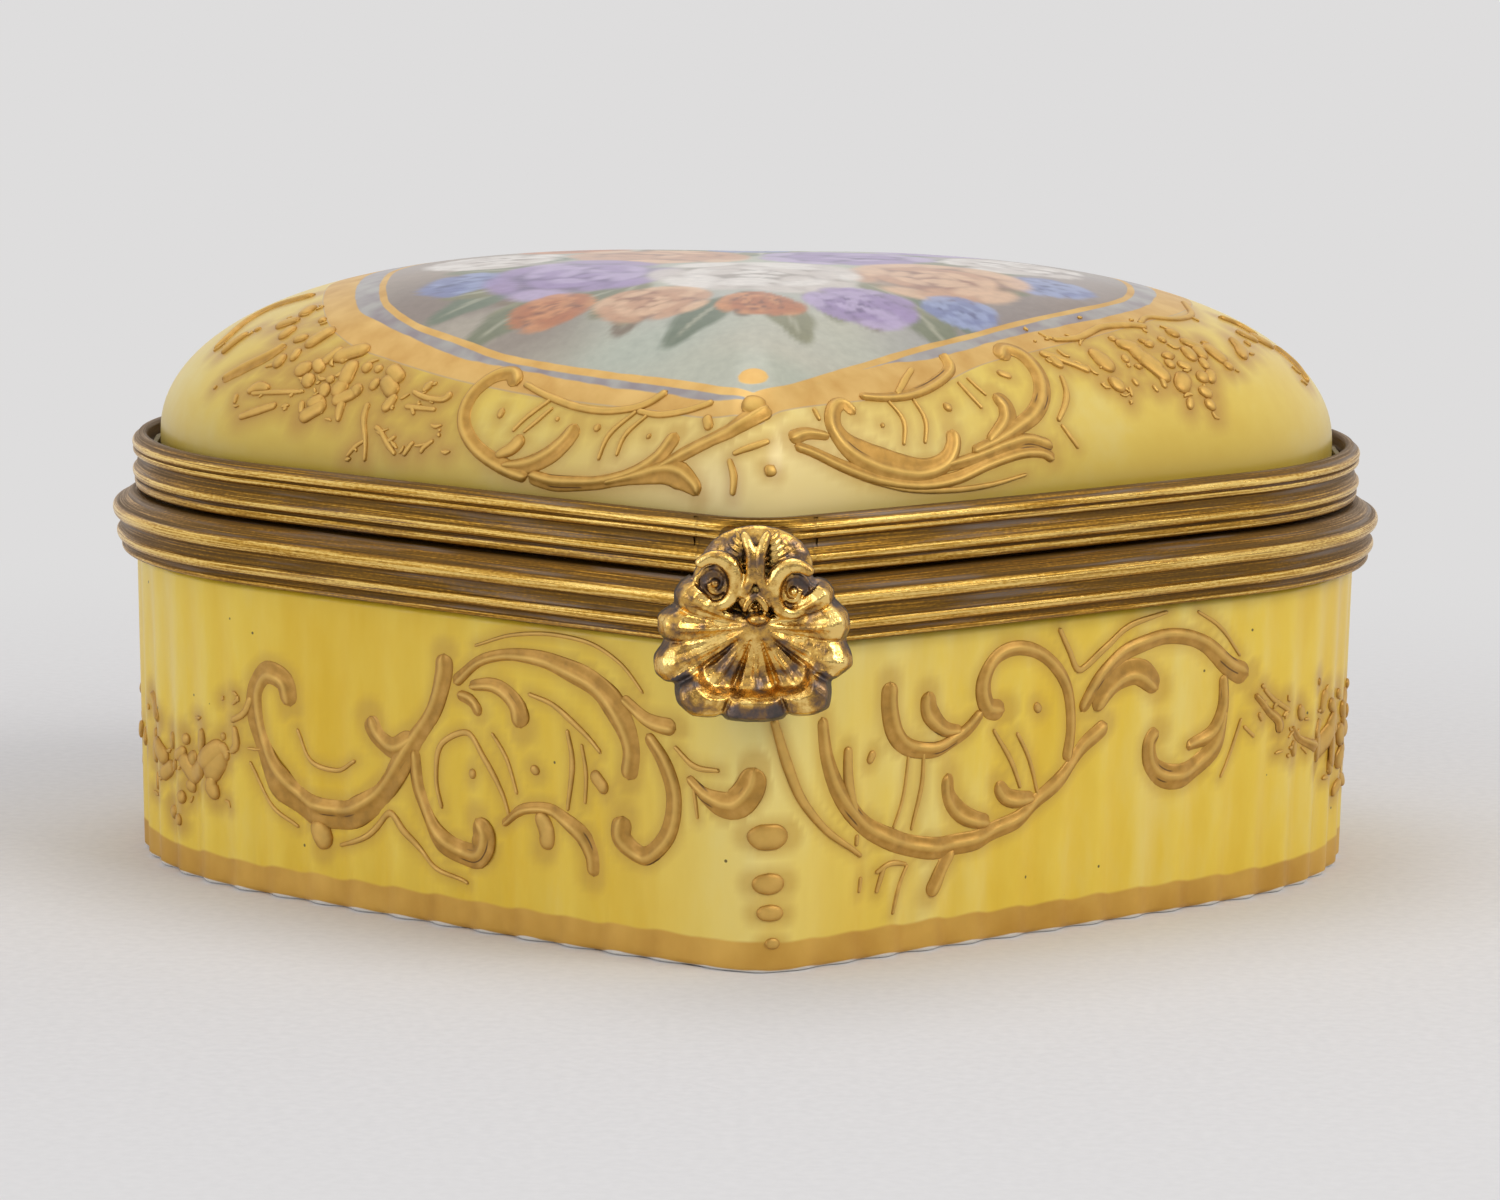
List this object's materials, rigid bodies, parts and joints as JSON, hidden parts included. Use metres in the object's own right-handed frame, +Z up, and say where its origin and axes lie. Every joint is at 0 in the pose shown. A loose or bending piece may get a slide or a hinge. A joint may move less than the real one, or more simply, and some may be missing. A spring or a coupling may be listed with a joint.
{
  "type": "heart-shaped porcelain box",
  "caption": "Heart-shaped keepsake box: fluted porcelain body and domed lid in moulded gilt brass mounts, hinged at the cleft, with a shell thumbpiece at the tip.",
  "frame": {"origin": "centre of the whole box's footprint, on the plane of the foot", "axes": "+X across the heart to its right lobe, +Y from the tip to the cleft, +Z up"},
  "size_m": [0.0936, 0.083, 0.0444],
  "materials": {
    "porcelain_body": "satin-glazed yellow ground over fluted porcelain, raised matt gilding, gilt foot band",
    "porcelain_lid": "satin-glazed yellow ground with a painted heart-shaped panel and raised gilding",
    "gilt_brass": "gilt brass, rubbed on the beads and toned brown in the hollows",
    "gilt_clasp": "bright cast gilt brass with dark worn edges",
    "pin_brass": "drawn brass wire, dull",
    "plaster": "matt plaster bedding"
  },
  "bodies": {
    "base": {"base_box": "porcelain_body", "base_bedding": "plaster", "base_collar": "gilt_brass", "locating_lip": "gilt_brass", "base_hinge_leaf": "gilt_brass", "hinge_pin": "pin_brass", "catch_stud": "gilt_brass"},
    "lid": {"lid_shell": "porcelain_lid", "lid_bedding": "plaster", "lid_collar": "gilt_brass", "lid_hinge_leaf": "gilt_brass", "clasp_lug": "gilt_brass", "shell_clasp": "gilt_clasp"}
  },
  "joints": [
    {"name": "lid_hinge", "type": "hinge", "parent": "base", "child": "lid", "pos_m": [0, 0.04007, 0.02695], "axis": [-1, 0, 0], "range_deg": [0, 100]}
  ]
}
